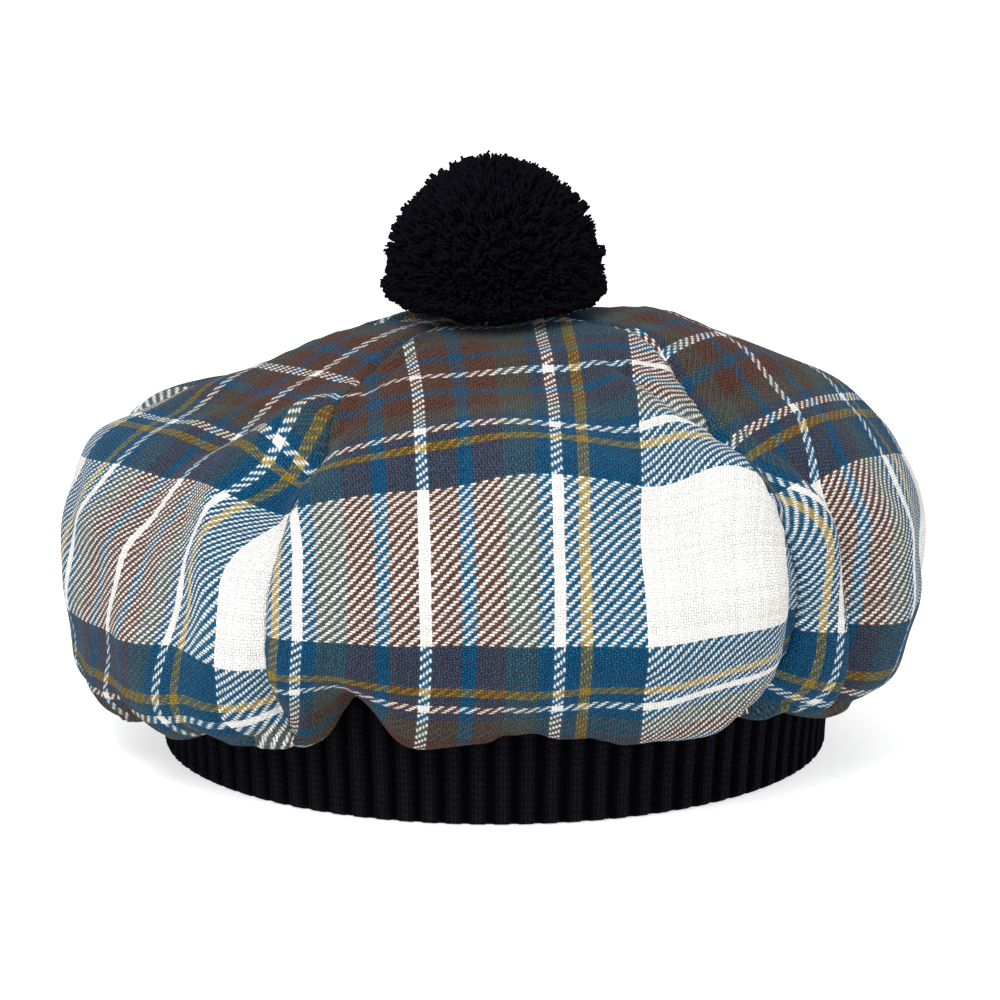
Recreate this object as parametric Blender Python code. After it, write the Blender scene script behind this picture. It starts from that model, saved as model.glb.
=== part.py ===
"""Tam o' shanter: five cloth gores gathered into a ribbed knitted headband, with a pompom on top.

Metres, +Z up. The wearer's front is -Y and +X is on the right in a front view. The origin lies on the
surface that the hat rests on, under the middle of the crown.
"""
import math

import bmesh
import bpy
from mathutils import Vector

# Crown: how far it hangs out past the inside of the band that it is sewn to, and how high it stands.
OVERHANG_FRONT = 0.0425
OVERHANG_SIDES = 0.0360
OVERHANG_BACK = 0.0265
CROWN_HEIGHT = 0.1345
CLOTH_WALL = 0.0020
SEAM_GAP = 0.0003
TIE_HOLE_RADIUS = 0.0040

# Headband: knitted wool, stretched a little at the top by the cloth that is gathered into it.
BAND_INNER_RADIUS = 0.0920
BAND_HEIGHT = 0.0370
BAND_WALL = 0.0045
BAND_FLARE = 0.0030
RIB_PITCH = 0.0070
RIB_DEPTH = 0.0011
BAND_CLEARANCE = 0.0003

# Pompom: short yarn ends round a tied middle, drawn down on to the dimple in the crown. The power of its
# fullness is 2 for a ball and more for a head with a flatter top and shoulders.
POMPOM_RADIUS = 0.0330
POMPOM_HEIGHT = 0.0455
POMPOM_BELLY = 0.0055
TUFT_LENGTH = 0.0022
POMPOM_CLEARANCE = 0.0003
POMPOM_FULLNESS = 2.15

# How far the crown reaches from the middle of the head hole, which lies behind the middle of the crown by
# half the difference between the reaches to the front and to the back.
REACH_FRONT = BAND_INNER_RADIUS + OVERHANG_FRONT
REACH_SIDE = BAND_INNER_RADIUS + OVERHANG_SIDES
REACH_BACK = BAND_INNER_RADIUS + OVERHANG_BACK
HOLE_SHIFT = (REACH_FRONT - REACH_BACK) / 2

# Rows run down the outside of the crown, from the tie hole to the hem that is sewn over the band.
# Each has a place outwards (share of the reach) and upwards (share of the crown height), in four directions.
PROFILE_COLUMNS = ("row", "front_out", "front_up", "right_out", "right_up",
                   "back_out", "back_up", "left_out", "left_up")
PROFILE = (
    ("dimple", 0.030, 0.945, 0.031, 0.945, 0.034, 0.945, 0.031, 0.945),
    ("rim", 0.135, 0.980, 0.140, 0.988, 0.150, 0.950, 0.140, 0.962),
    ("top", 0.300, 0.968, 0.312, 0.978, 0.330, 0.888, 0.312, 0.922),
    ("slope", 0.465, 0.940, 0.475, 0.945, 0.510, 0.800, 0.475, 0.862),
    ("fall", 0.620, 0.908, 0.625, 0.885, 0.675, 0.712, 0.620, 0.814),
    ("brow", 0.750, 0.875, 0.765, 0.818, 0.815, 0.622, 0.748, 0.780),
    ("shoulder", 0.867, 0.822, 0.870, 0.748, 0.905, 0.540, 0.856, 0.742),
    ("turn", 0.948, 0.735, 0.955, 0.668, 0.968, 0.452, 0.932, 0.684),
    ("cheek", 0.990, 0.612, 0.993, 0.562, 1.000, 0.368, 0.976, 0.578),
    ("widest", 1.000, 0.480, 0.990, 0.436, 0.998, 0.276, 0.988, 0.415),
    ("tuck", 0.962, 0.368, 0.972, 0.314, 0.972, 0.200, 0.992, 0.282),
    ("overhang", 0.892, 0.278, 0.945, 0.204, 0.936, 0.142, 0.972, 0.162),
    ("hem", 0.818, 0.208, 0.885, 0.148, 0.895, 0.118, 0.900, 0.098),
)

# A seam's azimuth in degrees, counted from the front towards the wearer's left hand (+X), where it
# leaves the tie hole, crosses the shoulder, crosses the widest part and meets the hem.
SEAM_COLUMNS = ("seam", "at_tie", "at_shoulder", "at_widest", "at_hem")
SEAMS = (
    ("front_left", -54.0, -28.0, -32.0, -33.0),
    ("front_right", 68.0, 41.5, 46.5, 42.5),
    ("right_back", 114.0, 112.0, 113.0, 113.0),
    ("back", 186.0, 188.0, 187.0, 187.0),
    ("left_back", 255.0, 254.0, 255.0, 255.0),
)
GORES = ("crown_gore_front", "crown_gore_right", "crown_gore_back_right", "crown_gore_back_left",
         "crown_gore_left")

# Folds run down the crown as valleys: azimuth at their upper and lower end, the stretch of cloth that
# they cover from the tie hole (0) to the hem (1), depth as a share of the reach, and width in degrees.
FOLD_COLUMNS = ("fold", "azimuth_high", "azimuth_low", "start", "end", "depth", "width")
FOLDS = (
    ("front_left_seam", -29.0, -34.0, 0.34, 1.00, 0.052, 5.0),
    ("front_left_seam_top", -38.0, -29.0, 0.12, 0.46, 0.012, 5.0),
    ("front_left_ridge", -39.0, -46.0, 0.24, 0.80, -0.022, 5.0),
    ("left_hollow", -50.0, -58.0, 0.34, 0.84, 0.022, 7.5),
    ("front_right_seam", 45.0, 44.5, 0.34, 1.00, 0.050, 4.5),
    ("front_right_crease", 35.0, 42.0, 0.22, 0.47, 0.018, 3.0),
    ("front_right_pinch", 42.5, 43.5, 0.40, 0.53, 0.030, 2.2),
    ("right_deep", 50.0, 62.0, 0.46, 1.00, 0.052, 4.0),
    ("right_swell", 62.0, 71.0, 0.46, 0.94, -0.020, 8.0),
    ("right_back_seam", 112.0, 113.0, 0.30, 1.00, 0.034, 6.0),
    ("back_right_fold", 148.0, 152.0, 0.52, 1.00, 0.030, 8.0),
    ("back_seam", 188.0, 187.0, 0.30, 1.00, 0.036, 6.0),
    ("back_left_fold", 222.0, 218.0, 0.50, 1.00, 0.030, 8.0),
    ("left_back_seam", 254.0, 255.0, 0.30, 1.00, 0.036, 6.0),
    ("left_fold", 290.0, 293.0, 0.66, 1.00, 0.026, 7.0),
)

# Gathers lift the hem where the cloth is pinched into the band: azimuth and width in degrees, lift as
# a share of the crown height.
GATHER_COLUMNS = ("azimuth", "width", "lift")
GATHERS = (
    (-21.7, 4.8, 0.095),
    (5.0, 3.5, 0.014),
    (25.0, 4.0, 0.012),
    (41.0, 4.0, 0.040),
    (50.0, 6.0, 0.045),
    (73.0, 4.0, 0.020),
    (95.0, 5.0, 0.040),
    (113.0, 5.0, 0.060),
    (133.0, 5.0, 0.035),
    (152.0, 5.0, 0.055),
    (187.0, 5.0, 0.060),
    (218.0, 5.0, 0.055),
    (238.0, 5.0, 0.035),
    (255.0, 5.0, 0.060),
    (275.0, 5.0, 0.040),
    (293.0, 5.0, 0.030),
    (310.0, 5.0, 0.020),
)

# Below the hem row the cloth turns under and up the band to the edge that is sewn: outwards from the
# band and upwards from the hem, both counted in walls. The last gathers lift the three rows above too.
TURN_COLUMNS = ("row", "out", "up")
TURN = (
    ("under", 1.2, -0.3),
    ("band_foot", 0.0, 1.0),
    ("sewn_edge", 0.0, 3.0),
)
GATHER_SHARES = (0.15, 0.55, 1.0)

# A fold fades in over this share of its length, and its sides fall away with this power.
FOLD_FADE = 0.3
FOLD_POWER = 1.5

# Faces: steps across a gore, steps between two rows of the profile, rows and sides of the band's ribs.
GORE_STEPS = 12
ROW_STEPS = 2
BAND_ROWS = 2
SIDES_PER_RIB = 2
POMPOM_DIVISIONS = 3
LOWEST_TUFT_SLOPE = -0.5
SHARP_ANGLE = 40.0
WELD_DISTANCE = 0.00001

BAND_SEAT = BAND_INNER_RADIUS + BAND_WALL + BAND_FLARE + RIB_DEPTH + BAND_CLEARANCE
FOLD_ROOM = 4 * CLOTH_WALL
CROWN_MIDDLE = Vector((0.0, HOLE_SHIFT, 0.0))

# Rows of points down the cloth: those of the profile, then three more sections round the turned hem.
PROFILE_ROWS = [row[0] for row in PROFILE]
SHOULDER_SHARE = PROFILE_ROWS.index("shoulder") / (len(PROFILE) - 1)
WIDEST_SHARE = PROFILE_ROWS.index("widest") / (len(PROFILE) - 1)
HEM_ROW = (len(PROFILE) - 1) * ROW_STEPS
CLOTH_ROWS = HEM_ROW + len(TURN) * ROW_STEPS + 1


def column(table_columns, row, name):
    return row[table_columns.index(name)]


def ease(value):
    value = min(1.0, max(0.0, value))
    return value * value * (3.0 - 2.0 * value)


def angle_between(azimuth, other):
    """Degrees from other to azimuth, between -180 and 180."""
    return (azimuth - other + 180.0) % 360.0 - 180.0


def four_way(azimuth, front, right, back, left):
    """A value that turns smoothly through those of the four directions."""
    turn = math.radians(azimuth)
    ahead, aside = math.cos(turn), math.sin(turn)
    lengthwise = front if ahead > 0 else back
    sideways = right if aside > 0 else left
    return lengthwise * ahead * ahead + sideways * aside * aside


def gather_lift(azimuth):
    lift = 0.0
    for row in GATHERS:
        away = angle_between(azimuth, column(GATHER_COLUMNS, row, "azimuth"))
        width = column(GATHER_COLUMNS, row, "width")
        lift += column(GATHER_COLUMNS, row, "lift") * math.exp(-(away / width) ** 2)
    return lift * CROWN_HEIGHT


def section(azimuth):
    """Outer face of the cloth in one upright plane: (outwards, upwards) points from tie hole to hem."""
    points = []
    for row in PROFILE:
        out = four_way(azimuth,
                       REACH_FRONT * column(PROFILE_COLUMNS, row, "front_out"),
                       REACH_SIDE * column(PROFILE_COLUMNS, row, "right_out"),
                       REACH_BACK * column(PROFILE_COLUMNS, row, "back_out"),
                       REACH_SIDE * column(PROFILE_COLUMNS, row, "left_out"))
        up = four_way(azimuth,
                      column(PROFILE_COLUMNS, row, "front_up"),
                      column(PROFILE_COLUMNS, row, "right_up"),
                      column(PROFILE_COLUMNS, row, "back_up"),
                      column(PROFILE_COLUMNS, row, "left_up")) * CROWN_HEIGHT
        points.append([out, up])
    points[0][0] = TIE_HOLE_RADIUS
    lift = gather_lift(azimuth)
    for point, share in zip(points[-len(GATHER_SHARES):], GATHER_SHARES):
        point[1] += lift * share
    hem_height = points[-1][1]
    for row in TURN:
        points.append([BAND_SEAT + CLOTH_WALL * column(TURN_COLUMNS, row, "out"),
                       hem_height + CLOTH_WALL * column(TURN_COLUMNS, row, "up")])
    return points


def smooth_line(points, steps):
    """Points of a Catmull-Rom curve through the given ones."""
    line = []
    last = len(points) - 1
    for index in range(last):
        before = points[max(index - 1, 0)]
        start, end = points[index], points[index + 1]
        after = points[min(index + 2, last)]
        for step in range(steps):
            t = step / steps
            line.append([
                0.5 * (2 * b + (c - a) * t + (2 * a - 5 * b + 4 * c - d) * t ** 2
                       + (3 * b - a - 3 * c + d) * t ** 3)
                for a, b, c, d in zip(before, start, end, after)])
    line.append(list(points[-1]))
    return line


def fold_depth(azimuth, share):
    """How far the folds push the cloth inwards, as a share of the reach."""
    depth = 0.0
    for row in FOLDS:
        start = column(FOLD_COLUMNS, row, "start")
        end = column(FOLD_COLUMNS, row, "end")
        if not start < share <= end:
            continue
        along = (share - start) / (end - start)
        middle = (column(FOLD_COLUMNS, row, "azimuth_high") * (1 - along)
                  + column(FOLD_COLUMNS, row, "azimuth_low") * along)
        away = abs(angle_between(azimuth, middle)) / column(FOLD_COLUMNS, row, "width")
        fade_in = ease(along / FOLD_FADE)
        fade_out = 1.0 if end == 1.0 else ease((1 - along) / FOLD_FADE)
        depth += column(FOLD_COLUMNS, row, "depth") * math.exp(-away ** FOLD_POWER) * fade_in * fade_out
    return depth


def outward(points, index):
    """The direction out of the cloth at a point of its section, square to the points beside it."""
    before, after = points[max(index - 1, 0)], points[min(index + 1, len(points) - 1)]
    run = math.dist(before, after)
    return (before[1] - after[1]) / run, (after[0] - before[0]) / run


def cloth_outline(azimuth, first, last):
    """Rows first to last of the cloth's outer face in one upright plane, with the folds pressed in."""
    points = smooth_line(section(azimuth), ROW_STEPS)
    lengths = [0.0]
    for before, after in zip(points, points[1:]):
        lengths.append(lengths[-1] + math.dist(before, after))
    hem_length = lengths[HEM_ROW]
    outline = []
    for index in range(first, last + 1):
        point, normal = points[index], outward(points, index)
        room = REACH_SIDE
        if point[1] < BAND_HEIGHT:
            room = max(0.0, point[0] - BAND_SEAT - FOLD_ROOM)
        push = 0.0
        if index <= HEM_ROW:
            push = min(room, fold_depth(azimuth, lengths[index] / hem_length) * REACH_SIDE)
        outline.append((point[0] - normal[0] * push, point[1] - normal[1] * push))
    return outline


def cloth_at(azimuth, row):
    """Points of the cloth's outer and inner face, in the upright plane at an azimuth."""
    first, last = max(row - 1, 0), min(row + 1, CLOTH_ROWS - 1)
    outline = cloth_outline(azimuth, first, last)
    point, normal = outline[row - first], outward(outline, row - first)
    return point, (point[0] - normal[0] * CLOTH_WALL, point[1] - normal[1] * CLOTH_WALL)


def placed(azimuth, point):
    turn = math.radians(azimuth)
    return CROWN_MIDDLE + Vector((point[0] * math.sin(turn), -point[0] * math.cos(turn), point[1]))


def seam_azimuth(row, share):
    """The seam's azimuth at a share of the way from the tie hole to the hem."""
    stops = ((0.0, "at_tie"), (SHOULDER_SHARE, "at_shoulder"), (WIDEST_SHARE, "at_widest"), (1.0, "at_hem"))
    for (low, low_name), (high, high_name) in zip(stops, stops[1:]):
        if share <= high:
            part = ease((share - low) / (high - low))
            start, end = column(SEAM_COLUMNS, row, low_name), column(SEAM_COLUMNS, row, high_name)
            return start + (end - start) * part
    return column(SEAM_COLUMNS, row, "at_hem")


def material(name, colour, roughness):
    made = bpy.data.materials.new(name)
    made.use_nodes = True
    shader = made.node_tree.nodes["Principled BSDF"]
    shader.inputs["Base Color"].default_value = (*colour, 1.0)
    shader.inputs["Roughness"].default_value = roughness
    shader.inputs["Metallic"].default_value = 0.0
    made.diffuse_color = (*colour, 1.0)
    return made


def piece(name, mesh_maker, finish):
    mesh = bpy.data.meshes.new(name)
    mesh_maker.normal_update()
    bmesh.ops.recalc_face_normals(mesh_maker, faces=mesh_maker.faces[:])
    mesh_maker.to_mesh(mesh)
    mesh_maker.free()
    made = bpy.data.objects.new(name, mesh)
    bpy.context.scene.collection.objects.link(made)
    mesh.materials.append(finish)
    mesh.shade_smooth()
    mesh.set_sharp_from_angle(angle=math.radians(SHARP_ANGLE))
    return made


def closed_grid(columns):
    """A closed shell from equal columns of points, each a loop in one upright plane."""
    shape = bmesh.new()
    grid = [[shape.verts.new(point) for point in loop] for loop in columns]
    count = len(grid[0])
    for left, right in zip(grid, grid[1:]):
        for index in range(count):
            other = (index + 1) % count
            shape.faces.new((left[index], left[other], right[other], right[index]))
    return shape, grid


def crown_gore(name, first_seam, last_seam, finish):
    columns = []
    turn = 360.0 if SEAMS.index(last_seam) == 0 else 0.0
    for step in range(GORE_STEPS + 1):
        part = step / GORE_STEPS
        outer, inner = [], []
        for row in range(CLOTH_ROWS):
            share = min(1.0, row / HEM_ROW)
            low, high = seam_azimuth(first_seam, share), seam_azimuth(last_seam, share) + turn
            azimuth = low + (high - low) * part
            outer_point, inner_point = cloth_at(azimuth, row)
            azimuth += math.degrees(SEAM_GAP / 2 / inner_point[0]) * (1 - 2 * part)
            outer.append(placed(azimuth, outer_point))
            inner.append(placed(azimuth, inner_point))
        columns.append(outer + inner[::-1])
    shape, grid = closed_grid(columns)
    for loop in (grid[0], grid[-1]):
        for row in range(CLOTH_ROWS - 1):
            shape.faces.new((loop[row], loop[row + 1], loop[-row - 2], loop[-row - 1]))
    return piece(name, shape, finish)


def headband(finish):
    ribs = round(2 * math.pi * (BAND_INNER_RADIUS + BAND_WALL) / RIB_PITCH)
    columns = []
    sides = ribs * SIDES_PER_RIB
    for side in range(sides):
        azimuth = 360.0 * side / sides
        stand = RIB_DEPTH * (side % SIDES_PER_RIB == 0)
        outer, inner = [], []
        for row in range(BAND_ROWS + 1):
            part = row / BAND_ROWS
            flare = BAND_FLARE * ease(part)
            outer.append(placed(azimuth, (BAND_INNER_RADIUS + BAND_WALL + flare + stand,
                                          BAND_HEIGHT * part)))
            inner.append(placed(azimuth, (BAND_INNER_RADIUS + flare, BAND_HEIGHT * part)))
        columns.append(outer + inner[::-1])
    shape, _ = closed_grid(columns + columns[:1])
    bmesh.ops.remove_doubles(shape, verts=shape.verts[:], dist=WELD_DISTANCE)
    return piece("headband", shape, finish)


def crown_surface(azimuth, radius):
    """Height of the crown's outer face near its middle."""
    outline = cloth_outline(azimuth, 0, HEM_ROW)
    for before, after in zip(outline, outline[1:]):
        if after[0] >= radius:
            part = max(0.0, (radius - before[0]) / (after[0] - before[0]))
            return before[1] + (after[1] - before[1]) * part
    return outline[-1][1]


def pompom(finish):
    """A round head of tufts: each face of a ball is drawn out to the tip of a lock of yarn."""
    shape = bmesh.new()
    bmesh.ops.create_icosphere(shape, subdivisions=POMPOM_DIVISIONS, radius=1.0)
    core = POMPOM_RADIUS - TUFT_LENGTH
    belly = CROWN_HEIGHT + POMPOM_BELLY
    top = CROWN_HEIGHT + POMPOM_HEIGHT - TUFT_LENGTH
    for vertex in shape.verts:
        out, aside, upright = vertex.co.xy.length, vertex.co.copy(), vertex.co.z
        azimuth = math.degrees(math.atan2(aside.x, -aside.y))
        if upright > 0:
            fuller = (out ** POMPOM_FULLNESS + upright ** POMPOM_FULLNESS) ** (-1 / POMPOM_FULLNESS)
            out, aside, upright = out * fuller, aside * fuller, upright * fuller
        seat = crown_surface(azimuth, out * core) + POMPOM_CLEARANCE
        height = belly + upright * (top - belly) if upright > 0 else belly + upright * (belly - seat)
        vertex.co = Vector((aside.x * core, aside.y * core, max(height, seat)))
    shape.normal_update()
    tufts = [face for face in shape.faces if face.normal.z > LOWEST_TUFT_SLOPE]
    bmesh.ops.poke(shape, faces=tufts, offset=TUFT_LENGTH)
    bmesh.ops.translate(shape, verts=shape.verts[:], vec=CROWN_MIDDLE)
    return piece("pompom", shape, finish)


for existing in list(bpy.data.objects):
    bpy.data.objects.remove(existing)

tartan = material("tartan_wool", (0.28, 0.30, 0.31), 0.9)
knit = material("black_knit", (0.012, 0.012, 0.018), 0.9)
yarn = material("black_yarn", (0.010, 0.010, 0.016), 0.9)

for gore_index, gore_name in enumerate(GORES):
    crown_gore(gore_name, SEAMS[gore_index], SEAMS[(gore_index + 1) % len(SEAMS)], tartan)
headband(knit)
pompom(yarn)
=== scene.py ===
"""Looks of a tam o' shanter: tartan wool gores gathered into a ribbed knitted band, and a yarn pompom."""
import math

import bpy
import numpy as np
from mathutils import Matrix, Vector


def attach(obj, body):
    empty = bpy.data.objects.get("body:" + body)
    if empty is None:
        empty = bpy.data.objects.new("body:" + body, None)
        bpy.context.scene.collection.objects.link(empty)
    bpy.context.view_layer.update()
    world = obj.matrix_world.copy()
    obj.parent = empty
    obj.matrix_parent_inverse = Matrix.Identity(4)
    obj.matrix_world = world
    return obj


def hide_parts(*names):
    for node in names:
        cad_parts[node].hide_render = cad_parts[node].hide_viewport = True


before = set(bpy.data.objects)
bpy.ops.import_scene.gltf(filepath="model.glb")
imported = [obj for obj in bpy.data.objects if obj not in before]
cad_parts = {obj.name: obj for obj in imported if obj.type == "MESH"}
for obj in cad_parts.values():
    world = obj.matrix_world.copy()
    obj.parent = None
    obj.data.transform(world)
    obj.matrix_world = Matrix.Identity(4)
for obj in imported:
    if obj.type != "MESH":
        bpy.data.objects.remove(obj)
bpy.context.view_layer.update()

# The studio: the hat stands on a sweep of white paper, seen from a little above through a long lens, in the
# soft light of a white room, with a large lamp above and in front and a weak one on the right. The paper
# glows a little, as if it were lit from below.
VIEW_AIM = Vector((0.0015, 0.0080, 0.0740))
VIEW_ELEVATION = math.radians(14.0)
VIEW_WIDTH = 0.2966
LENS = 600.0
SENSOR = 36.0
FLOOR_SIZE = 12.0
ROOM_LIGHT = (0.98, 0.99, 1.0, 1.0)
LAMP_SIZE = 0.9
LAMPS = (
    # lamp, place, power
    ("key_lamp", (-0.5, -1.3, 1.5), 36.0),
    ("right_lamp", (1.4, -0.9, 0.9), 3.0),
)
PAPER = (0.60, 0.60, 0.60, 1.0)
PAPER_ROUGHNESS = 0.9
PAPER_GLOW = 0.62

view_distance = VIEW_WIDTH * LENS / SENSOR
view_side = Vector((0.0, -math.cos(VIEW_ELEVATION), math.sin(VIEW_ELEVATION)))
bpy.ops.object.camera_add(location=VIEW_AIM + view_side * view_distance)
camera = bpy.context.object
camera.rotation_euler = view_side.to_track_quat("Z", "Y").to_euler()
camera.data.lens = LENS
camera.data.sensor_width = SENSOR
camera.data.clip_end = 3 * FLOOR_SIZE
bpy.context.scene.camera = camera
bpy.context.scene.view_settings.view_transform = "Standard"

world = bpy.data.worlds.new("white_room")
world.use_nodes = True
world.node_tree.nodes["Background"].inputs["Color"].default_value = ROOM_LIGHT
world.node_tree.nodes["Background"].inputs["Strength"].default_value = 1.0
bpy.context.scene.world = world

for lamp_name, place, power in LAMPS:
    bpy.ops.object.light_add(type="AREA", location=place)
    lamp = bpy.context.object
    lamp.name = lamp_name
    lamp.rotation_euler = (lamp.location - VIEW_AIM).to_track_quat("Z", "Y").to_euler()
    lamp.data.size = LAMP_SIZE
    lamp.data.energy = power

bpy.ops.mesh.primitive_plane_add(size=FLOOR_SIZE)
floor = bpy.context.object
floor.name = "white_floor"
sweep = bpy.data.materials.new("white_sweep")
sweep.use_nodes = True
paper = sweep.node_tree.nodes["Principled BSDF"]
paper.inputs["Base Color"].default_value = PAPER
paper.inputs["Roughness"].default_value = PAPER_ROUGHNESS
paper.inputs["Emission Color"].default_value = (1.0, 1.0, 1.0, 1.0)
paper.inputs["Emission Strength"].default_value = PAPER_GLOW
floor.data.materials.append(sweep)


# The crown: five wedges of wool twill, sewn together from under the pompom to the band and gathered into
# the band's upper edge, over which the fullness hangs. The grain of each wedge runs from the middle to
# the hem, so the tartan turns from one to the next.
REACH_FRONT = 0.1345
REACH_SIDE = 0.1280
REACH_BACK = 0.1185
CROWN_HEIGHT = 0.1345
TIE_HOLE_RADIUS = 0.0040
BAND_SEAT = 0.1009
BAND_HEIGHT = 0.0370
CLOTH_WALL = 0.0020
CLOTH_THICKNESS = 0.0014
SEAM_GAP = 0.00012
HOLE_SHIFT = (REACH_FRONT - REACH_BACK) / 2

# The crown's section in four directions: how far out and up each row stands, as shares of the reach on that
# side and of the crown's height.
PROFILE_COLUMNS = ("row", "front_out", "front_up", "right_out", "right_up",
                   "back_out", "back_up", "left_out", "left_up")
PROFILE = (
    ("dimple", 0.030, 0.945, 0.031, 0.945, 0.034, 0.945, 0.031, 0.945),
    ("rim", 0.135, 0.980, 0.140, 0.988, 0.150, 0.950, 0.140, 0.962),
    ("top", 0.300, 0.968, 0.312, 0.978, 0.330, 0.888, 0.312, 0.922),
    ("slope", 0.465, 0.940, 0.475, 0.945, 0.510, 0.800, 0.475, 0.862),
    ("fall", 0.620, 0.908, 0.625, 0.885, 0.675, 0.712, 0.620, 0.814),
    ("brow", 0.750, 0.875, 0.765, 0.818, 0.815, 0.622, 0.748, 0.780),
    ("shoulder", 0.867, 0.822, 0.870, 0.748, 0.905, 0.540, 0.856, 0.742),
    ("turn", 0.948, 0.735, 0.955, 0.668, 0.968, 0.452, 0.932, 0.684),
    ("cheek", 0.990, 0.612, 0.993, 0.562, 1.000, 0.368, 0.976, 0.578),
    ("widest", 1.000, 0.480, 0.990, 0.436, 0.998, 0.276, 0.988, 0.415),
    ("tuck", 0.962, 0.368, 0.972, 0.314, 0.972, 0.200, 0.992, 0.282),
    ("overhang", 0.892, 0.278, 0.945, 0.204, 0.936, 0.142, 0.972, 0.162),
    ("hem", 0.818, 0.208, 0.885, 0.148, 0.895, 0.118, 0.900, 0.098),
)
# The hem turns under and up along the band: row, outwards and upwards in walls of the cloth.
TURN = (("under", 1.2, -0.3), ("band_foot", 0.0, 1.0), ("sewn_edge", 0.0, 3.0))

# Seams by azimuth in degrees, from the front towards +X, at four heights of the crown.
SEAMS = (
    # seam, at tie, at shoulder, at widest, at hem
    ("front_left", -54.0, -28.0, -32.0, -33.0),
    ("front_right", 68.0, 41.5, 46.5, 42.5),
    ("right_back", 114.0, 112.0, 113.0, 113.0),
    ("back", 186.0, 188.0, 187.0, 187.0),
    ("left_back", 255.0, 254.0, 255.0, 255.0),
)

# Folds: azimuth at the upper and lower end, start and end along the cloth from tie hole to hem, depth as
# a share of the side reach, and the widths in degrees of the sides before and after the crease.
FOLDS = (
    # fold, azimuth high, azimuth low, start, end, depth, before, after
    ("front_left_seam", -29.0, -34.0, 0.34, 1.00, 0.055, 5.5, 2.2),
    ("front_left_seam_top", -38.0, -29.0, 0.12, 0.46, 0.016, 5.0, 3.0),
    ("front_left_ridge", -39.0, -46.0, 0.24, 0.80, -0.022, 5.5, 4.5),
    ("left_hollow", -50.0, -58.0, 0.34, 0.84, 0.022, 8.0, 7.0),
    ("front_right_seam", 45.0, 44.5, 0.34, 1.00, 0.052, 2.8, 5.5),
    ("front_right_crease", 35.0, 42.0, 0.22, 0.47, 0.018, 3.5, 2.2),
    ("front_right_pinch", 42.5, 43.5, 0.40, 0.53, 0.030, 2.2, 2.2),
    ("right_deep", 50.0, 62.0, 0.46, 1.00, 0.056, 2.4, 6.0),
    ("right_swell", 62.0, 71.0, 0.46, 0.94, -0.020, 6.0, 10.0),
    ("right_back_seam", 112.0, 113.0, 0.30, 1.00, 0.034, 6.0, 6.0),
    ("back_right_fold", 148.0, 152.0, 0.52, 1.00, 0.030, 8.0, 8.0),
    ("back_seam", 188.0, 187.0, 0.30, 1.00, 0.036, 6.0, 6.0),
    ("back_left_fold", 222.0, 218.0, 0.50, 1.00, 0.030, 8.0, 8.0),
    ("left_back_seam", 254.0, 255.0, 0.30, 1.00, 0.036, 6.0, 6.0),
    ("left_fold", 290.0, 293.0, 0.66, 1.00, 0.026, 7.0, 7.0),
)
FOLD_FADE = 0.3
FOLD_POWER = 1.5

# Gathers: where the hem is pinched up into the band, with their width in degrees and their lift as a
# share of the crown's height.
GATHERS = (
    # azimuth, width, lift
    (-21.7, 4.8, 0.110),
    (5.0, 3.0, 0.016),
    (25.0, 4.0, 0.012),
    (41.0, 4.0, 0.040),
    (50.0, 6.0, 0.045),
    (73.0, 4.0, 0.015),
    (95.0, 5.0, 0.040),
    (113.0, 5.0, 0.060),
    (133.0, 5.0, 0.035),
    (152.0, 5.0, 0.055),
    (187.0, 5.0, 0.060),
    (218.0, 5.0, 0.055),
    (238.0, 5.0, 0.035),
    (255.0, 5.0, 0.060),
    (275.0, 5.0, 0.040),
    (293.0, 5.0, 0.030),
    (310.0, 5.0, 0.020),
)
# How much of the lift the last three rows of the profile take.
GATHER_SHARES = (0.15, 0.55, 1.0)

# Where the cloth of each wedge was cut: the azimuth of its grain, and how far the middle of the narrow
# white stripe lies from the wedge's tip, across the grain and along it.
GORES = (
    # piece, grain, stripe across, stripe along
    ("crown_gore_front", 4.0, -0.0294, 0.0570),
    ("crown_gore_right", 58.5, 0.0000, 0.0620),
    ("crown_gore_back_right", 149.0, 0.0050, 0.0640),
    ("crown_gore_back_left", 221.0, -0.0100, 0.0700),
    ("crown_gore_left", 302.0, 0.0000, 0.0600),
)

# How the cloth hangs. Slips: how far it has slid across its grain, at places down from the tip. Tucks:
# cloth hidden in a fold, from its azimuth at the tie to that at the hem, and the side that keeps its place,
# 0 before the fold and 1 beyond it. Pulls: cloth drawn up towards a seam.
SLIP_START = 0.050
SLIP_STEP = 0.025
SLIPS = {
    "crown_gore_front": (0.002, 0.002, 0.001, 0.0, 0.0, 0.0, 0.0),
    "crown_gore_right": (0.040, 0.027, 0.012, -0.008, -0.010, -0.010, -0.010),
    "crown_gore_back_right": (0.0, 0.004, 0.008, 0.004, 0.0, 0.0, 0.0),
    "crown_gore_back_left": (0.0, -0.004, -0.008, -0.004, 0.0, 0.0, 0.0),
    "crown_gore_left": (-0.006, -0.004, 0.011, 0.019, -0.005, -0.018, -0.028),
}
TUCKS = (
    # piece, at tie, at hem, width, starts, full, fades, ends, hidden, kept
    ("crown_gore_right", 38.6, 60.8, 0.7, 0.095, 0.150, 0.30, 0.40, 0.039, 1.0),
    ("crown_gore_left", -43.0, -43.0, 4.0, 0.060, 0.090, 0.130, 0.190, 0.017, 0.0),
)
PULLS = (
    # piece, begins, reaches, starts, full, ends, drawn
    ("crown_gore_front", 20.0, 38.0, 0.045, 0.120, 0.170, 0.015),
    ("crown_gore_left", -48.0, -32.0, 0.150, 0.210, 0.260, -0.012),
)
PULL_FADE = 0.035
GORE_COLUMNS_OF_FACES = 110
FACES_PER_ROW = 9
LEAST_FLARE = 0.01
FOLD_STANDOFF = 4 * CLOTH_WALL
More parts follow.
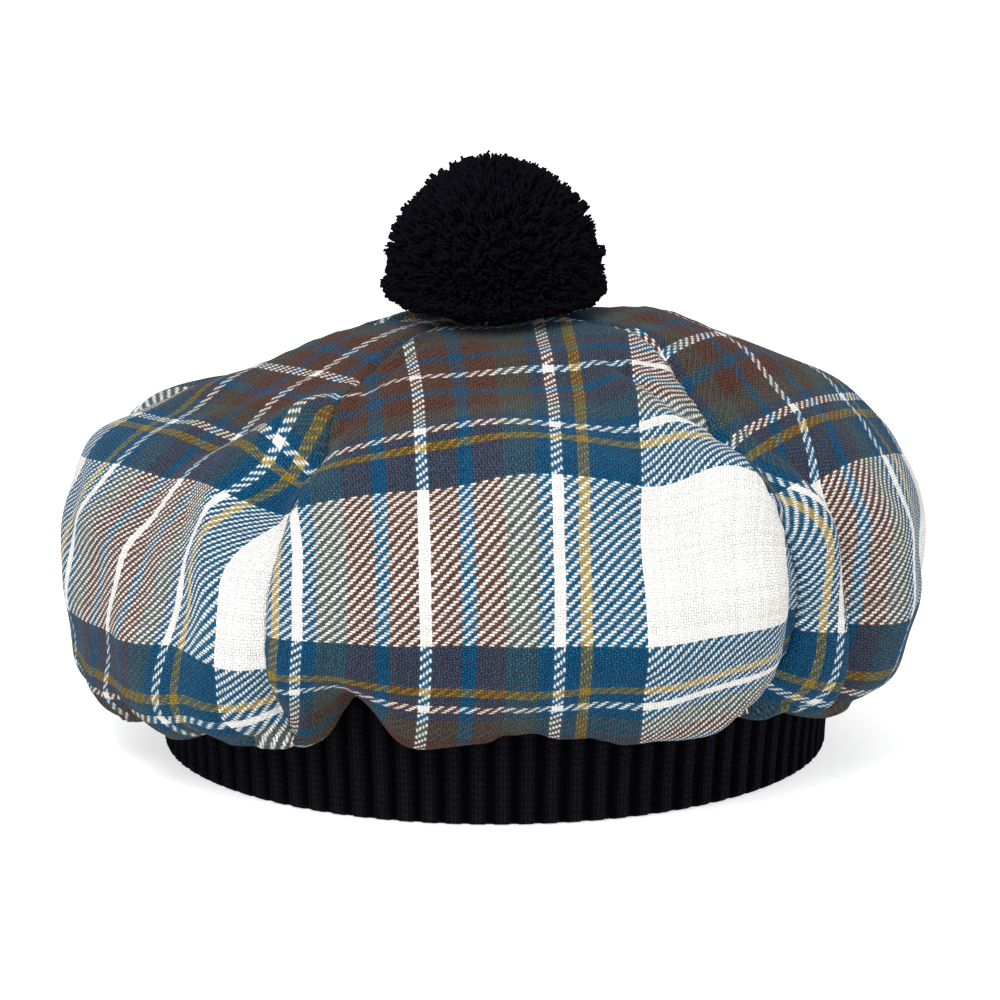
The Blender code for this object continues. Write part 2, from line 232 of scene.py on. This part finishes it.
SMOOTH_ROWS = 2.5


def column(columns, rows, name):
    return np.array([row[columns.index(name)] for row in rows])


def ease(value):
    value = np.clip(value, 0.0, 1.0)
    return value * value * (3.0 - 2.0 * value)


def angle_between(azimuth, other):
    return (azimuth - other + 180.0) % 360.0 - 180.0


def four_way(azimuth, front, right, back, left):
    """A value that turns smoothly through those of the four directions."""
    turn = np.radians(azimuth)
    ahead, aside = np.cos(turn), np.sin(turn)
    return np.where(ahead > 0, front, back) * ahead ** 2 + np.where(aside > 0, right, left) * aside ** 2


def gather_lift(azimuth):
    lift = np.zeros_like(azimuth)
    for middle, width, share in GATHERS:
        lift += share * np.exp(-(angle_between(azimuth, middle) / width) ** 2)
    return lift * CROWN_HEIGHT


def section_rows(azimuth):
    """Outwards and upwards places of every row of the profile, for an array of azimuths."""
    reach = {"front": REACH_FRONT, "right": REACH_SIDE, "back": REACH_BACK, "left": REACH_SIDE}
    table = {name: column(PROFILE_COLUMNS, PROFILE, name) for name in PROFILE_COLUMNS[1:]}
    outs, ups = [], []
    for index in range(len(PROFILE)):
        outs.append(four_way(azimuth, *(table[side + "_out"][index] * reach[side] for side in reach)))
        ups.append(four_way(azimuth, *(table[side + "_up"][index] * CROWN_HEIGHT for side in reach)))
    outs[0] = np.full_like(azimuth, TIE_HOLE_RADIUS)
    lift = gather_lift(azimuth)
    for index, share in zip(range(-len(GATHER_SHARES), 0), GATHER_SHARES):
        ups[index] = ups[index] + lift * share
    hem = ups[-1]
    for _, out, up in TURN:
        outs.append(np.full_like(azimuth, BAND_SEAT + CLOTH_WALL * out))
        ups.append(hem + CLOTH_WALL * up)
    return outs, ups


def spline(a, b, c, d, t):
    """Catmull-Rom curve through four values, at a share of the way from the second to the third."""
    return 0.5 * (2 * b + (c - a) * t + (2 * a - 5 * b + 4 * c - d) * t ** 2
                  + (3 * b - a - 3 * c + d) * t ** 3)


def curve_through(rows, place):
    """The curve through the rows, at a place counted in rows."""
    last = len(rows) - 1
    index = min(int(place), last - 1)
    return spline(rows[max(index - 1, 0)], rows[index], rows[index + 1], rows[min(index + 2, last)],
                  place - index)


def fold_depth(azimuth, share):
    depth = np.zeros_like(azimuth)
    for _, high, low, start, end, fold, before, after in FOLDS:
        along = (share - start) / (end - start)
        away = angle_between(azimuth, high + (low - high) * along)
        away = np.abs(away) / np.where(away < 0, before, after)
        fade = ease(along / FOLD_FADE) * (1.0 if end == 1.0 else ease((1 - along) / FOLD_FADE))
        depth += fold * np.exp(-away ** FOLD_POWER) * fade * (along > 0) * (along <= 1)
    return depth


# Small wrinkles: long soft waves all over, ripples of the stitching beside the seams, and the fine
# pleats that stand above the band.
WAVES = 26
WAVE_HEIGHT = 0.00042
WAVE_LENGTHS = (0.018, 0.060)
SEAM_GROOVE = 0.0011
SEAM_GROOVE_WIDTH = 0.0016
RIPPLE_HEIGHT = 0.00035
RIPPLE_LENGTH = 0.0085
RIPPLE_REACH = 0.0060
PLEATS = 64
PLEAT_DEPTH = 0.0011
PLEAT_SHARES = (0.3, 1.0)
PLEAT_WIDTHS = (0.9, 2.4)
PLEAT_START = 0.80
WRINKLE_SEED = 5
dice = np.random.default_rng(WRINKLE_SEED)
wave_turns = dice.uniform(0, 2 * math.pi, (WAVES, 3))
wave_lengths = dice.uniform(*WAVE_LENGTHS, WAVES)
pleat_places = dice.uniform(0, 360, PLEATS)
pleat_widths = dice.uniform(*PLEAT_WIDTHS, PLEATS)
pleat_depths = dice.uniform(*PLEAT_SHARES, PLEATS) * PLEAT_DEPTH


def wrinkles(azimuth, share, out, up, length, from_seam):
    turn = np.radians(azimuth)
    x, y = out * np.sin(turn), out * np.cos(turn)
    push = np.zeros_like(out)
    for (heading, tilt, start), wave in zip(wave_turns, wave_lengths):
        run = (x * math.cos(heading) + y * math.sin(heading)) * abs(math.cos(tilt)) + up * math.sin(tilt)
        push += WAVE_HEIGHT * wave / WAVE_LENGTHS[1] * np.sin(2 * math.pi * run / wave + start)
    push += SEAM_GROOVE * np.exp(-(from_seam / SEAM_GROOVE_WIDTH) ** 2)
    push += RIPPLE_HEIGHT * np.sin(2 * math.pi * length / RIPPLE_LENGTH) * np.exp(-from_seam / RIPPLE_REACH)
    fade = ease((share - PLEAT_START) / (1 - PLEAT_START))
    for place, width, depth in zip(pleat_places, pleat_widths, pleat_depths):
        push += depth * fade * np.exp(-(angle_between(azimuth, place) / width) ** 2)
    return push


def seam_azimuth(seam, share):
    rows = [row[0] for row in PROFILE]
    stops = [0.0, rows.index("shoulder") / (len(rows) - 1), rows.index("widest") / (len(rows) - 1), 1.0]
    values = seam[1:]
    for low, high, start, end in zip(stops, stops[1:], values, values[1:]):
        if share <= high:
            return start + (end - start) * float(ease((share - low) / (high - low)))
    return values[-1]


def outward(out, up):
    """The direction out of the cloth in each upright plane, along the first axis of the grid."""
    run_out, run_up = np.gradient(out, axis=0), np.gradient(up, axis=0)
    size = np.hypot(run_out, run_up)
    return -run_up / size, run_out / size


def hang(piece, azimuth, share, length, across, along):
    """The cloth's measures with its slip, its tucks and its pulls."""
    slips = np.array(SLIPS[piece])
    place = np.clip((length - SLIP_START) / SLIP_STEP, 0, len(slips) - 1)
    index = np.minimum(place.astype(int), len(slips) - 2)
    across = across - spline(slips[np.maximum(index - 1, 0)], slips[index], slips[index + 1],
                             slips[np.minimum(index + 2, len(slips) - 1)], place - index)
    for name, at_tie, at_hem, width, starts, full, fades, ends, hidden, kept in TUCKS:
        if name == piece:
            amount = hidden * ease((length - starts) / (full - starts))
            amount = amount * ease((ends - length) / (ends - fades))
            away = angle_between(azimuth, at_tie + (at_hem - at_tie) * share)
            across = across + amount * (ease(away / width + 0.5) - kept)
    for name, begins, reaches, starts, full, ends, drawn in PULLS:
        if name == piece:
            amount = drawn * ease((length - starts) / PULL_FADE) * ease((ends - length) / (ends - full))
            along = along + amount * ease(angle_between(azimuth, begins) / (reaches - begins))
    return across, along


def gore_grid(piece, first_seam, last_seam, grain):
    """Places of a wedge's outer face and the cloth's own measures there, across and along the grain."""
    turn = 360.0 if last_seam is SEAMS[0] else 0.0
    row_count = len(PROFILE) + len(TURN) - 1
    hem_row = len(PROFILE) - 1
    places = np.linspace(0, row_count, row_count * FACES_PER_ROW + 1)
    parts = np.linspace(0, 1, GORE_COLUMNS_OF_FACES + 1)
    azimuth, out, up = [], [], []
    for place in places:
        share = min(1.0, place / hem_row)
        low, high = seam_azimuth(first_seam, share), seam_azimuth(last_seam, share) + turn
        angles = low + (high - low) * parts
        outs, ups = section_rows(angles)
        azimuth.append(angles)
        out.append(curve_through(outs, place))
        up.append(curve_through(ups, place))
    azimuth, out, up = np.array(azimuth), np.array(out), np.array(up)
    steps = np.hypot(np.diff(out, axis=0), np.diff(up, axis=0))
    length = np.vstack([np.zeros_like(out[:1]), np.cumsum(steps, axis=0)]) + TIE_HOLE_RADIUS
    hem_index = hem_row * FACES_PER_ROW
    share = np.minimum(1.0, (length - TIE_HOLE_RADIUS) / (length[hem_index] - TIE_HOLE_RADIUS))
    edge = np.minimum(parts, 1 - parts)[None, :]
    from_seam = edge * np.radians(azimuth[:, -1:] - azimuth[:, :1]) * out

    run_out, run_up = np.gradient(out, axis=0), np.gradient(up, axis=0)
    flare = np.clip(run_out / np.hypot(run_out, run_up), -1, 1)
    flare = np.where(np.abs(flare) < LEAST_FLARE, LEAST_FLARE, flare)
    aside = np.radians(angle_between(azimuth, grain))
    across = out * np.sin(flare * aside) / flare
    along = length - out * (1 - np.cos(flare * aside)) / flare
    across, along = hang(piece, azimuth, share, length, across, along)

    on_face = (np.arange(len(places)) <= hem_index)[:, None]
    out_way, up_way = outward(out, up)
    room = np.where(up < BAND_HEIGHT, np.maximum(0.0, out - BAND_SEAT - FOLD_STANDOFF), REACH_SIDE)
    push = np.minimum(fold_depth(azimuth, share) * REACH_SIDE, room) * on_face
    out, up = out - out_way * push, up - up_way * push
    out_way, up_way = outward(out, up)
    small = wrinkles(azimuth, share, out, up, length, from_seam)
    rows_left = (len(places) - 1 - np.arange(len(places))) / (SMOOTH_ROWS * FACES_PER_ROW)
    small = small * ease(rows_left)[:, None]
    out, up = out - out_way * small, up - up_way * small
    azimuth = azimuth + np.degrees(SEAM_GAP / 2 / out) * (1 - 2 * parts)
    return azimuth, out, up, across, along


# The tartan: the same order of stripes in warp and weft, mirrored about the narrow white stripe and
# about the middle of the broad white one, given as threads of one half from the first to the second.
THREAD = 0.00087
WHITE = (0.90, 0.885, 0.85)
BROWN = (0.124, 0.054, 0.036)
BLUE = (0.010, 0.102, 0.207)
GREY = (0.085, 0.110, 0.095)
MUSTARD = (0.37, 0.265, 0.042)
SETT = (
    (2, WHITE), (10, BROWN), (5, BLUE), (10, BROWN), (11, GREY), (5, BLUE), (4, WHITE), (5, BLUE),
    (4, MUSTARD), (18, BLUE), (30, WHITE),
)
HALF_SETT = sum(threads for threads, _ in SETT)

# Two over and two under: the threads that each one passes over, the threads after which the weave repeats,
# and how high a thread still lies at the ends of that pass.
TWILL_FLOAT = 2.0
TWILL_REPEAT = 4.0
FLOAT_ENDS = 0.35

# How far the hairs of the thread beneath colour the one on top: less where the two differ in brightness, and
# a little more again where the one on top is the paler.
MINGLING = 0.30
UNMINGLING = 0.40
DARK_ON_LIGHT = 0.18

# Shading of the hollows between the threads, unevenness from thread to thread, and the pores between the
# hairs. Noises are given as scale and detail, and bumps as strength and distance.
HOLLOW_SHADE = (0.80, 0.79, 0.79, 1.0)
HOLLOW_POWER = 0.6
HOLLOW_RISE = 1.15
THREAD_SHADE = (0.78, 0.78, 0.78, 1.0)
THREAD_UNEVEN = 0.7
WARP_SEED = 7.3
WEFT_SEED = 31.7
THREAD_DRIFT = 0.35
DRIFT_NOISE = (260.0, 2.0)
THREAD_FUZZ = 0.9
FUZZ_NOISE = (1500.0, 2.0)
PORE_SHADE = (0.30, 0.30, 0.32, 1.0)
PORE_RANGE = (0.36, 0.60)
PORES_ON_PALE = 0.95
BLEACHED = (1.0, 1.0, 1.0, 1.0)
FIBRE_NOISE = (2600.0, 3.0)
FIBRE_RELIEF = 0.45
TWILL_BUMP = (0.75, 0.00045)
WOOL_ROUGHNESS = 0.95
TWILL_GLOSS = 0.04
SHEEN = 0.07
SHEEN_ROUGHNESS = 0.30


class Wire:
    """A socket of a material's nodes, which adds its Math nodes when it is used in an expression."""

    def __init__(self, material, socket=None):
        self.material, self.socket = material, socket

    def node(self, kind, settings, sockets, output=0):
        tree = self.material.node_tree
        made = tree.nodes.new(kind)
        for name, value in settings.items():
            if name == "stops":
                made.color_ramp.interpolation = "CONSTANT"
                made.color_ramp.elements.remove(made.color_ramp.elements[1])
                for place, colour in value:
                    stop = made.color_ramp.elements.new(place) if place else made.color_ramp.elements[0]
                    stop.color = (*colour, 1.0)
            else:
                setattr(made, name, value)
        for name, value in sockets.items():
            if isinstance(value, Wire):
                tree.links.new(value.socket, made.inputs[name])
            else:
                made.inputs[name].default_value = value
        return Wire(self.material, made.outputs[output])

    def maths(self, operation, *values):
        return self.node("ShaderNodeMath", {"operation": operation}, dict(enumerate(values)))

    def feed(self, name):
        """Joins this socket to one of the material's surface shader."""
        shader = self.material.node_tree.nodes["Principled BSDF"]
        self.material.node_tree.links.new(self.socket, shader.inputs[name])

    def mix(self, other, share):
        """This colour, turned towards another by a share."""
        colours = {"data_type": "RGBA"}
        return self.node("ShaderNodeMix", colours, {"Factor": share, "A": self, "B": other}, "Result")

    def brightness(self):
        return self.node("ShaderNodeRGBToBW", {}, {"Color": self})

    def times(self, shade):
        """This colour, darkened by another."""
        darkened = {"data_type": "RGBA", "blend_type": "MULTIPLY"}
        return self.node("ShaderNodeMix", darkened, {"Factor": 1.0, "A": self, "B": shade}, "Result")

    def noise(self, scale, detail):
        return self.node("ShaderNodeTexNoise", {}, {"Vector": self, "Scale": scale, "Detail": detail})

    def between(self, first, last):
        """The colour at this share of the way from one colour to another."""
        colours = {"data_type": "RGBA"}
        return self.node("ShaderNodeMix", colours, {"Factor": self, "A": first, "B": last}, "Result")

    def emboss(self, strength, distance):
        """Bumps the surface by this height."""
        bump = self.node("ShaderNodeBump", {}, {"Height": self, "Strength": strength, "Distance": distance})
        bump.feed("Normal")

    def __add__(self, other):
        return self.maths("ADD", self, other)

    def __sub__(self, other):
        return self.maths("SUBTRACT", self, other)

    def __rsub__(self, other):
        return self.maths("SUBTRACT", other, self)

    def __mul__(self, other):
        return self.maths("MULTIPLY", self, other)

    def __truediv__(self, other):
        return self.maths("DIVIDE", self, other)

    def __lt__(self, other):
        return self.maths("LESS_THAN", self, other)

    __radd__ = __add__
    __rmul__ = __mul__


def woollen(name, gloss):
    """The first wire of a new matt material of wool."""
    material = bpy.data.materials.new(name)
    material.use_nodes = True
    shader = material.node_tree.nodes["Principled BSDF"]
    shader.inputs["Roughness"].default_value = WOOL_ROUGHNESS
    shader.inputs["Specular IOR Level"].default_value = gloss
    return Wire(material)


def twill():
    """Wool woven two over two under, brushed, with each thread's own shade and its slubs."""
    start = woollen("tartan_twill", TWILL_GLOSS)
    material = start.material
    shader = material.node_tree.nodes["Principled BSDF"]
    shader.inputs["Sheen Weight"].default_value = SHEEN
    shader.inputs["Sheen Roughness"].default_value = SHEEN_ROUGHNESS
    place = start.node("ShaderNodeUVMap", {"uv_map": "threads"}, {})
    split = place.node("ShaderNodeSeparateXYZ", {}, {"Vector": place})
    warp, weft = split, Wire(material, split.socket.node.outputs[1])
    wool = place.node("ShaderNodeTexCoord", {}, {}, "Object")
    drift, fuzz = wool.noise(*DRIFT_NOISE), wool.noise(*FUZZ_NOISE)
    warp = warp + (drift - 0.5) * THREAD_DRIFT + (fuzz - 0.5) * THREAD_FUZZ
    weft = weft + (drift - 0.5) * THREAD_DRIFT - (fuzz - 0.5) * THREAD_FUZZ
    warp_thread, weft_thread = warp.maths("FLOOR", warp), weft.maths("FLOOR", weft)

    stops, counted = [], 0
    for threads, colour in SETT:
        stops.append((counted / HALF_SETT, colour))
        counted += threads

    def yarn(thread, seed):
        """The colour of a thread by its number, darkened by a share of its own."""
        half = thread.maths("PINGPONG", thread + 0.5, float(HALF_SETT)) / float(HALF_SETT)
        colour = half.node("ShaderNodeValToRGB", {"stops": stops}, {"Fac": half})
        shade = half.node("ShaderNodeTexWhiteNoise", {"noise_dimensions": "1D"}, {"W": thread + seed})
        return colour.mix(colour.times(THREAD_SHADE), shade * THREAD_UNEVEN)

    step = start.maths("FRACT", (warp_thread + weft_thread) / TWILL_REPEAT)
    warp_up = step < TWILL_FLOAT / TWILL_REPEAT
    warp_run = step.maths("FRACT", (warp_thread + weft) / TWILL_REPEAT) * (TWILL_REPEAT / TWILL_FLOAT)
    weft_run = step.maths("FRACT", (warp + weft_thread) / TWILL_REPEAT) * (TWILL_REPEAT / TWILL_FLOAT) - 1.0
    warp_side = warp.maths("FRACT", warp) - 0.5
    weft_side = weft.maths("FRACT", weft) - 0.5

    def float_height(side, run):
        """Height of a thread where it passes over two others: round across, and bowed along."""
        bow = FLOAT_ENDS + (1 - FLOAT_ENDS) * run.maths("SINE", run * math.pi)
        return side.maths("COSINE", side * math.pi) * bow

    warp_height, weft_height = float_height(warp_side, warp_run), float_height(weft_side, weft_run)
    height = weft_height + (warp_height - weft_height) * warp_up
    warp_yarn, weft_yarn = yarn(warp_thread, WARP_SEED), yarn(weft_thread, WEFT_SEED)
    colour, beneath = weft_yarn.mix(warp_yarn, warp_up), warp_yarn.mix(weft_yarn, warp_up)
    unlike = colour.brightness() - beneath.brightness()
    mingled = (MINGLING - unlike.maths("ABSOLUTE", unlike) * UNMINGLING
               + unlike.maths("MAXIMUM", unlike, 0.0) * DARK_ON_LIGHT)
    colour = colour.mix(beneath, mingled.maths("MAXIMUM", mingled, 0.0))
    between = beneath.node("ShaderNodeGamma", {}, {"Color": beneath, "Gamma": HOLLOW_POWER})
    hollow = colour.times(between).times(HOLLOW_SHADE)
    colour = hollow.mix(colour, height.maths("MINIMUM", height * HOLLOW_RISE, 1.0))
    fibre = wool.noise(*FIBRE_NOISE)
    hairs = fibre.node("ShaderNodeMapRange", {"interpolation_type": "SMOOTHSTEP"},
                       {"Value": fibre, "From Min": PORE_RANGE[0], "From Max": PORE_RANGE[1]})
    pore = (colour.brightness() * PORES_ON_PALE).between(PORE_SHADE, BLEACHED)
    colour.times(pore).mix(colour, hairs).feed("Base Color")
    (height + fibre * FIBRE_RELIEF).emboss(*TWILL_BUMP)
    return material


tartan = twill()


def laid_on_grid(name, points, measures, layer_name):
    """A grid with its corners put at rows of places, and two measures of the cloth as its UV map."""
    rows, columns = points.shape[:2]
    bpy.ops.object.select_all(action="DESELECT")
    bpy.ops.mesh.primitive_grid_add(x_subdivisions=columns - 1, y_subdivisions=rows - 1,
                                    size=1.0, calc_uvs=True)
    made = bpy.context.object
    made.name = made.data.name = name
    made.data.vertices.foreach_set("co", points.reshape(-1))
    corners = np.empty(len(made.data.loops), dtype=np.int64)
    made.data.loops.foreach_get("vertex_index", corners)
    layer = made.data.uv_layers[0]
    layer.name = layer_name
    layer.data.foreach_set("uv", measures.reshape(-1, 2)[corners].reshape(-1))
    made.data.shade_smooth()
    made.data.update()
    return made


def gore(name, first_seam, last_seam, grain, stripe_across, stripe_along):
    azimuth, out, up, across, along = gore_grid(name, first_seam, last_seam, grain)
    turn = np.radians(azimuth)
    points = np.stack([out * np.sin(turn), HOLE_SHIFT - out * np.cos(turn), up], axis=-1)
    threads = np.stack([(across - stripe_across) / THREAD, (along - stripe_along) / THREAD], axis=-1)
    made = laid_on_grid(name + "_twill", points[::-1], threads[::-1], "threads")
    made.data.materials.append(tartan)
    wall = made.modifiers.new("wall", "SOLIDIFY")
    wall.thickness = CLOTH_THICKNESS
    wall.offset = -1.0
    bpy.ops.object.modifier_apply(modifier=wall.name)
    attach(made, "root")
    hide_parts(name)


for index, (gore_name, grain, stripe_across, stripe_along) in enumerate(GORES):
    gore(gore_name, SEAMS[index], SEAMS[(index + 1) % len(SEAMS)], grain, stripe_across, stripe_along)


# The headband: black wool knitted in a rib of two plain columns and one sunk one, doubled over with
# rounded edges, and stretched a little wider at the top, where the crown is sewn on.
BAND_INNER_RADIUS = 0.0920
BAND_WALL = 0.0045
BAND_FLARE = 0.0030
RIB_DEPTH = 0.0011
RIB_COUNT = 85
COLUMNS_PER_RIB = 3
FACES_PER_COLUMN = 3
STITCH_HEIGHT = 0.0021
BAND_ROUND_ROWS = (26, 5, 8, 5)
COLUMN_SWELL = 0.0005
WELD_DISTANCE = 0.00001
KNIT_GLOSS = 0.03
# The black yarn's colour runs from painted shade, low in the loops and in the sunk columns, to a painted
# highlight on the tops of the loops and on the rib ridges, with random tone from the hairs.
KNIT_PAINTED_SHADE = (0.0002, 0.0002, 0.0005, 1.0)
KNIT_PAINTED_HIGHLIGHT = (0.0100, 0.0098, 0.0145, 1.0)
KNIT_HIGHLIGHT_SHARE = 0.6
STITCH_SLANT = 1.1
STITCH_LEG = 0.25
KNIT_NOISE = (1500.0, 4.0)
KNIT_RELIEF = 0.8
KNIT_BUMP = (0.8, 0.0006)


def knit():
    """Black knitted wool: rows of small interlocked loops, hairy all over."""
    start = woollen("black_ribbed_knit", KNIT_GLOSS)
    material = start.material
    place = start.node("ShaderNodeUVMap", {"uv_map": "stitches"}, {})
    split = place.node("ShaderNodeSeparateXYZ", {}, {"Vector": place})
    across, upward = split, Wire(material, split.socket.node.outputs[1])
    side = across.maths("ABSOLUTE", across.maths("FRACT", across) - 0.5)
    loop = upward.maths("FRACT", upward + side * STITCH_SLANT) - 0.5
    height = loop.maths("COSINE", loop * math.pi) * side.maths("COSINE", (side - STITCH_LEG) * 2 * math.pi)
    fibre = place.node("ShaderNodeTexCoord", {}, {}, "Object").noise(*KNIT_NOISE)
    relief = height + fibre * KNIT_RELIEF
    from_ridge = across.maths("FRACT", across / COLUMNS_PER_RIB) - 1 / COLUMNS_PER_RIB
    ridge = from_ridge.maths("COSINE", from_ridge * 2 * math.pi) * 0.5 + 0.5
    # Painted highlight on the raised loops and rib ridges, painted shade in the sunk loops and columns,
    # mottled by the hairs.
    (relief * ridge * KNIT_HIGHLIGHT_SHARE).between(KNIT_PAINTED_SHADE, KNIT_PAINTED_HIGHLIGHT).feed("Base Color")
    relief.emboss(*KNIT_BUMP)
    return material


def knitted_band():
    around = RIB_COUNT * COLUMNS_PER_RIB * FACES_PER_COLUMN
    outer_rows, top_rows, inner_rows, foot_rows = BAND_ROUND_ROWS
    half = BAND_WALL / 2
    rise = BAND_HEIGHT - BAND_WALL
    route = []
    for step in range(outer_rows):
        route.append((1.0, half + rise * step / outer_rows, 1.0))
    for step in range(top_rows):
        bend = math.pi * step / top_rows
        route.append((math.cos(bend), BAND_HEIGHT - half + half * math.sin(bend), (1 + math.cos(bend)) / 2))
    for step in range(inner_rows):
        route.append((-1.0, BAND_HEIGHT - half - rise * step / inner_rows, 0.0))
    for step in range(foot_rows + 1):
        bend = math.pi * step / foot_rows
        route.append((-math.cos(bend), half - half * math.sin(bend), (1 - math.cos(bend)) / 2))
    side, up, outer = np.array(route).T[:, None, :]
    turn = np.arange(around + 1)[:, None]
    beat = (turn % (COLUMNS_PER_RIB * FACES_PER_COLUMN)) / FACES_PER_COLUMN
    raised = np.where(beat < COLUMNS_PER_RIB - 1, RIB_DEPTH, 0.0)
    swell = COLUMN_SWELL * np.abs(np.sin(math.pi * (beat + 0.5 / FACES_PER_COLUMN)))
    relief = outer * (raised + swell) - (1 - outer) * swell
    out = BAND_INNER_RADIUS + half + BAND_FLARE * ease(up / BAND_HEIGHT) + side * half + relief
    azimuth = turn / around * 2 * math.pi
    points = np.stack([out * np.sin(azimuth), HOLE_SHIFT - out * np.cos(azimuth), up + 0 * out], axis=-1)
    steps = np.hypot(np.diff(side[0] * half), np.diff(up[0]))
    lengths = np.concatenate([[0.0], np.cumsum(steps)]) / STITCH_HEIGHT
    stitches = np.stack([turn / FACES_PER_COLUMN + 0 * out, lengths + 0 * out], axis=-1)
    made = laid_on_grid("headband_knit", points, stitches, "stitches")
    bpy.ops.object.mode_set(mode="EDIT")
    bpy.ops.mesh.select_all(action="SELECT")
    bpy.ops.mesh.remove_doubles(threshold=WELD_DISTANCE)
    bpy.ops.mesh.normals_make_consistent(inside=False)
    bpy.ops.object.mode_set(mode="OBJECT")
    made.data.materials.append(knit())
    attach(made, "root")
    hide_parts("headband")


knitted_band()


# The pompom: wool yarn wound, tied through the middle and cut, so that it is a full ball of short ends that
# point outwards and lean together in tufts, tied down through the hole where the wedges meet.
POMPOM_RADIUS = 0.0330
POMPOM_BELLY = 0.1400
POMPOM_TOP = 0.1784
POMPOM_FOOT = 0.1290
POMPOM_FULLNESS = 2.05
STRANDS = 11000
STRAND_SIDES = 4
STRAND_TAPER = 0.80
STRAND_RADIUS = 0.00050
STRAND_LENGTH = 0.0070
STRAND_TILT = 0.20
STRAND_SCATTER = 0.035
STRAND_THICKNESS = (0.7, 1.25)
STRAND_REACH = (0.965, 1.010)
LOWEST_STRAND = -0.35
GOLDEN_ANGLE = math.pi * (3 - math.sqrt(5))
LOCKS = 1200
LOCK_PULL = 0.35
LOCK_SPLAY = 3.0
LOCK_REACH = (0.965, 1.025)
CORE_SHARE = 0.86
CORE_DIVISIONS = 4
TUFT_SEED = 11
YARN_GLOSS = 0.03
YARN_BLACK = (0.0004, 0.0004, 0.0008, 1.0)
YARN_NAVY = (0.0052, 0.0052, 0.0085, 1.0)
YARN_NOISE = (420.0, 3.0)
YARN_BUMP = (0.5, 0.0004)


def yarn_finish():
    """Black wool yarn with a trace of navy, seen at its cut ends."""
    start = woollen("black_yarn_ends", YARN_GLOSS)
    tone = start.node("ShaderNodeTexCoord", {}, {}, "Object").noise(*YARN_NOISE)
    tone.between(YARN_BLACK, YARN_NAVY).feed("Base Color")
    tone.emboss(*YARN_BUMP)
    return start.material


def pompom_surface(direction):
    """Where a line from the pompom's middle leaves it: its upper half is fuller than a ball's."""
    ring = np.hypot(direction[:, 0], direction[:, 1])
    full = (ring ** POMPOM_FULLNESS + np.abs(direction[:, 2]) ** POMPOM_FULLNESS) ** (-1 / POMPOM_FULLNESS)
    direction = direction * np.where(direction[:, 2] > 0, full, 1.0)[:, None]
    upward = np.maximum(direction[:, 2], 0) * (POMPOM_TOP - POMPOM_BELLY)
    downward = np.minimum(direction[:, 2], 0) * (POMPOM_BELLY - POMPOM_FOOT)
    return np.stack([direction[:, 0] * POMPOM_RADIUS, direction[:, 1] * POMPOM_RADIUS,
                     upward + downward], axis=-1)


def pompom():
    """Strands spread evenly over the ball, pulled towards the middle of the lock that each belongs to."""
    dice = np.random.default_rng(TUFT_SEED)
    count = np.arange(STRANDS) + 0.5
    height = 1 - 2 * count / STRANDS
    height = np.where(height < LOWEST_STRAND, LOWEST_STRAND * dice.random(STRANDS), height)
    turn = count * GOLDEN_ANGLE
    ring = np.sqrt(1 - height ** 2)
    direction = np.stack([ring * np.cos(turn), ring * np.sin(turn), height], axis=-1)
    direction += dice.normal(0, STRAND_SCATTER, direction.shape)
    direction /= np.linalg.norm(direction, axis=1)[:, None]
    locks = direction[dice.choice(STRANDS, LOCKS, replace=False)]
    nearest = np.argmax(direction @ locks.T, axis=1)
    reach = dice.uniform(*STRAND_REACH, STRANDS) * dice.uniform(*LOCK_REACH, LOCKS)[nearest]
    root_way = direction
    direction = direction + (locks[nearest] - direction) * LOCK_PULL
    direction /= np.linalg.norm(direction, axis=1)[:, None]
    tip = pompom_surface(direction) * reach[:, None]
    lean = direction + (direction - root_way) * LOCK_SPLAY + dice.normal(0, STRAND_TILT, direction.shape)
    lean /= np.linalg.norm(lean, axis=1)[:, None]
    side = np.cross(lean, dice.normal(0, 1, lean.shape))
    side /= np.linalg.norm(side, axis=1)[:, None]
    other = np.cross(lean, side)
    middle = np.array((0.0, HOLE_SHIFT, POMPOM_BELLY))
    thickness = dice.uniform(*STRAND_THICKNESS, (STRANDS, 1, 1))

    bpy.ops.object.select_all(action="DESELECT")
    bpy.ops.mesh.primitive_cone_add(vertices=STRAND_SIDES, radius1=STRAND_RADIUS,
                                    radius2=STRAND_RADIUS * STRAND_TAPER, depth=STRAND_LENGTH)
    strands = bpy.context.object
    strands.name = strands.data.name = "pompom_strands"
    aside, onward, upright = np.array([vertex.co for vertex in strands.data.vertices]).T[:, None, :, None]
    copies = strands.modifiers.new("copies", "ARRAY")
    copies.count = STRANDS
    copies.use_relative_offset = False
    bpy.ops.object.modifier_apply(modifier=copies.name)
    points = (tip[:, None] + lean[:, None] * (upright - STRAND_LENGTH / 2)
              + (side[:, None] * aside + other[:, None] * onward) * thickness)
    points += middle
    strands.data.vertices.foreach_set("co", points.reshape(-1))

    bpy.ops.object.select_all(action="DESELECT")
    bpy.ops.mesh.primitive_ico_sphere_add(subdivisions=CORE_DIVISIONS, radius=1.0)
    core = bpy.context.object
    core.name = core.data.name = "pompom_yarn"
    directions = np.array([vertex.co for vertex in core.data.vertices])
    inside = pompom_surface(directions) * CORE_SHARE + middle
    core.data.vertices.foreach_set("co", inside.reshape(-1))
    strands.select_set(True)
    bpy.ops.object.join()
    core.data.shade_smooth()
    core.data.materials.append(yarn_finish())
    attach(core, "root")
    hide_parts("pompom")


pompom()
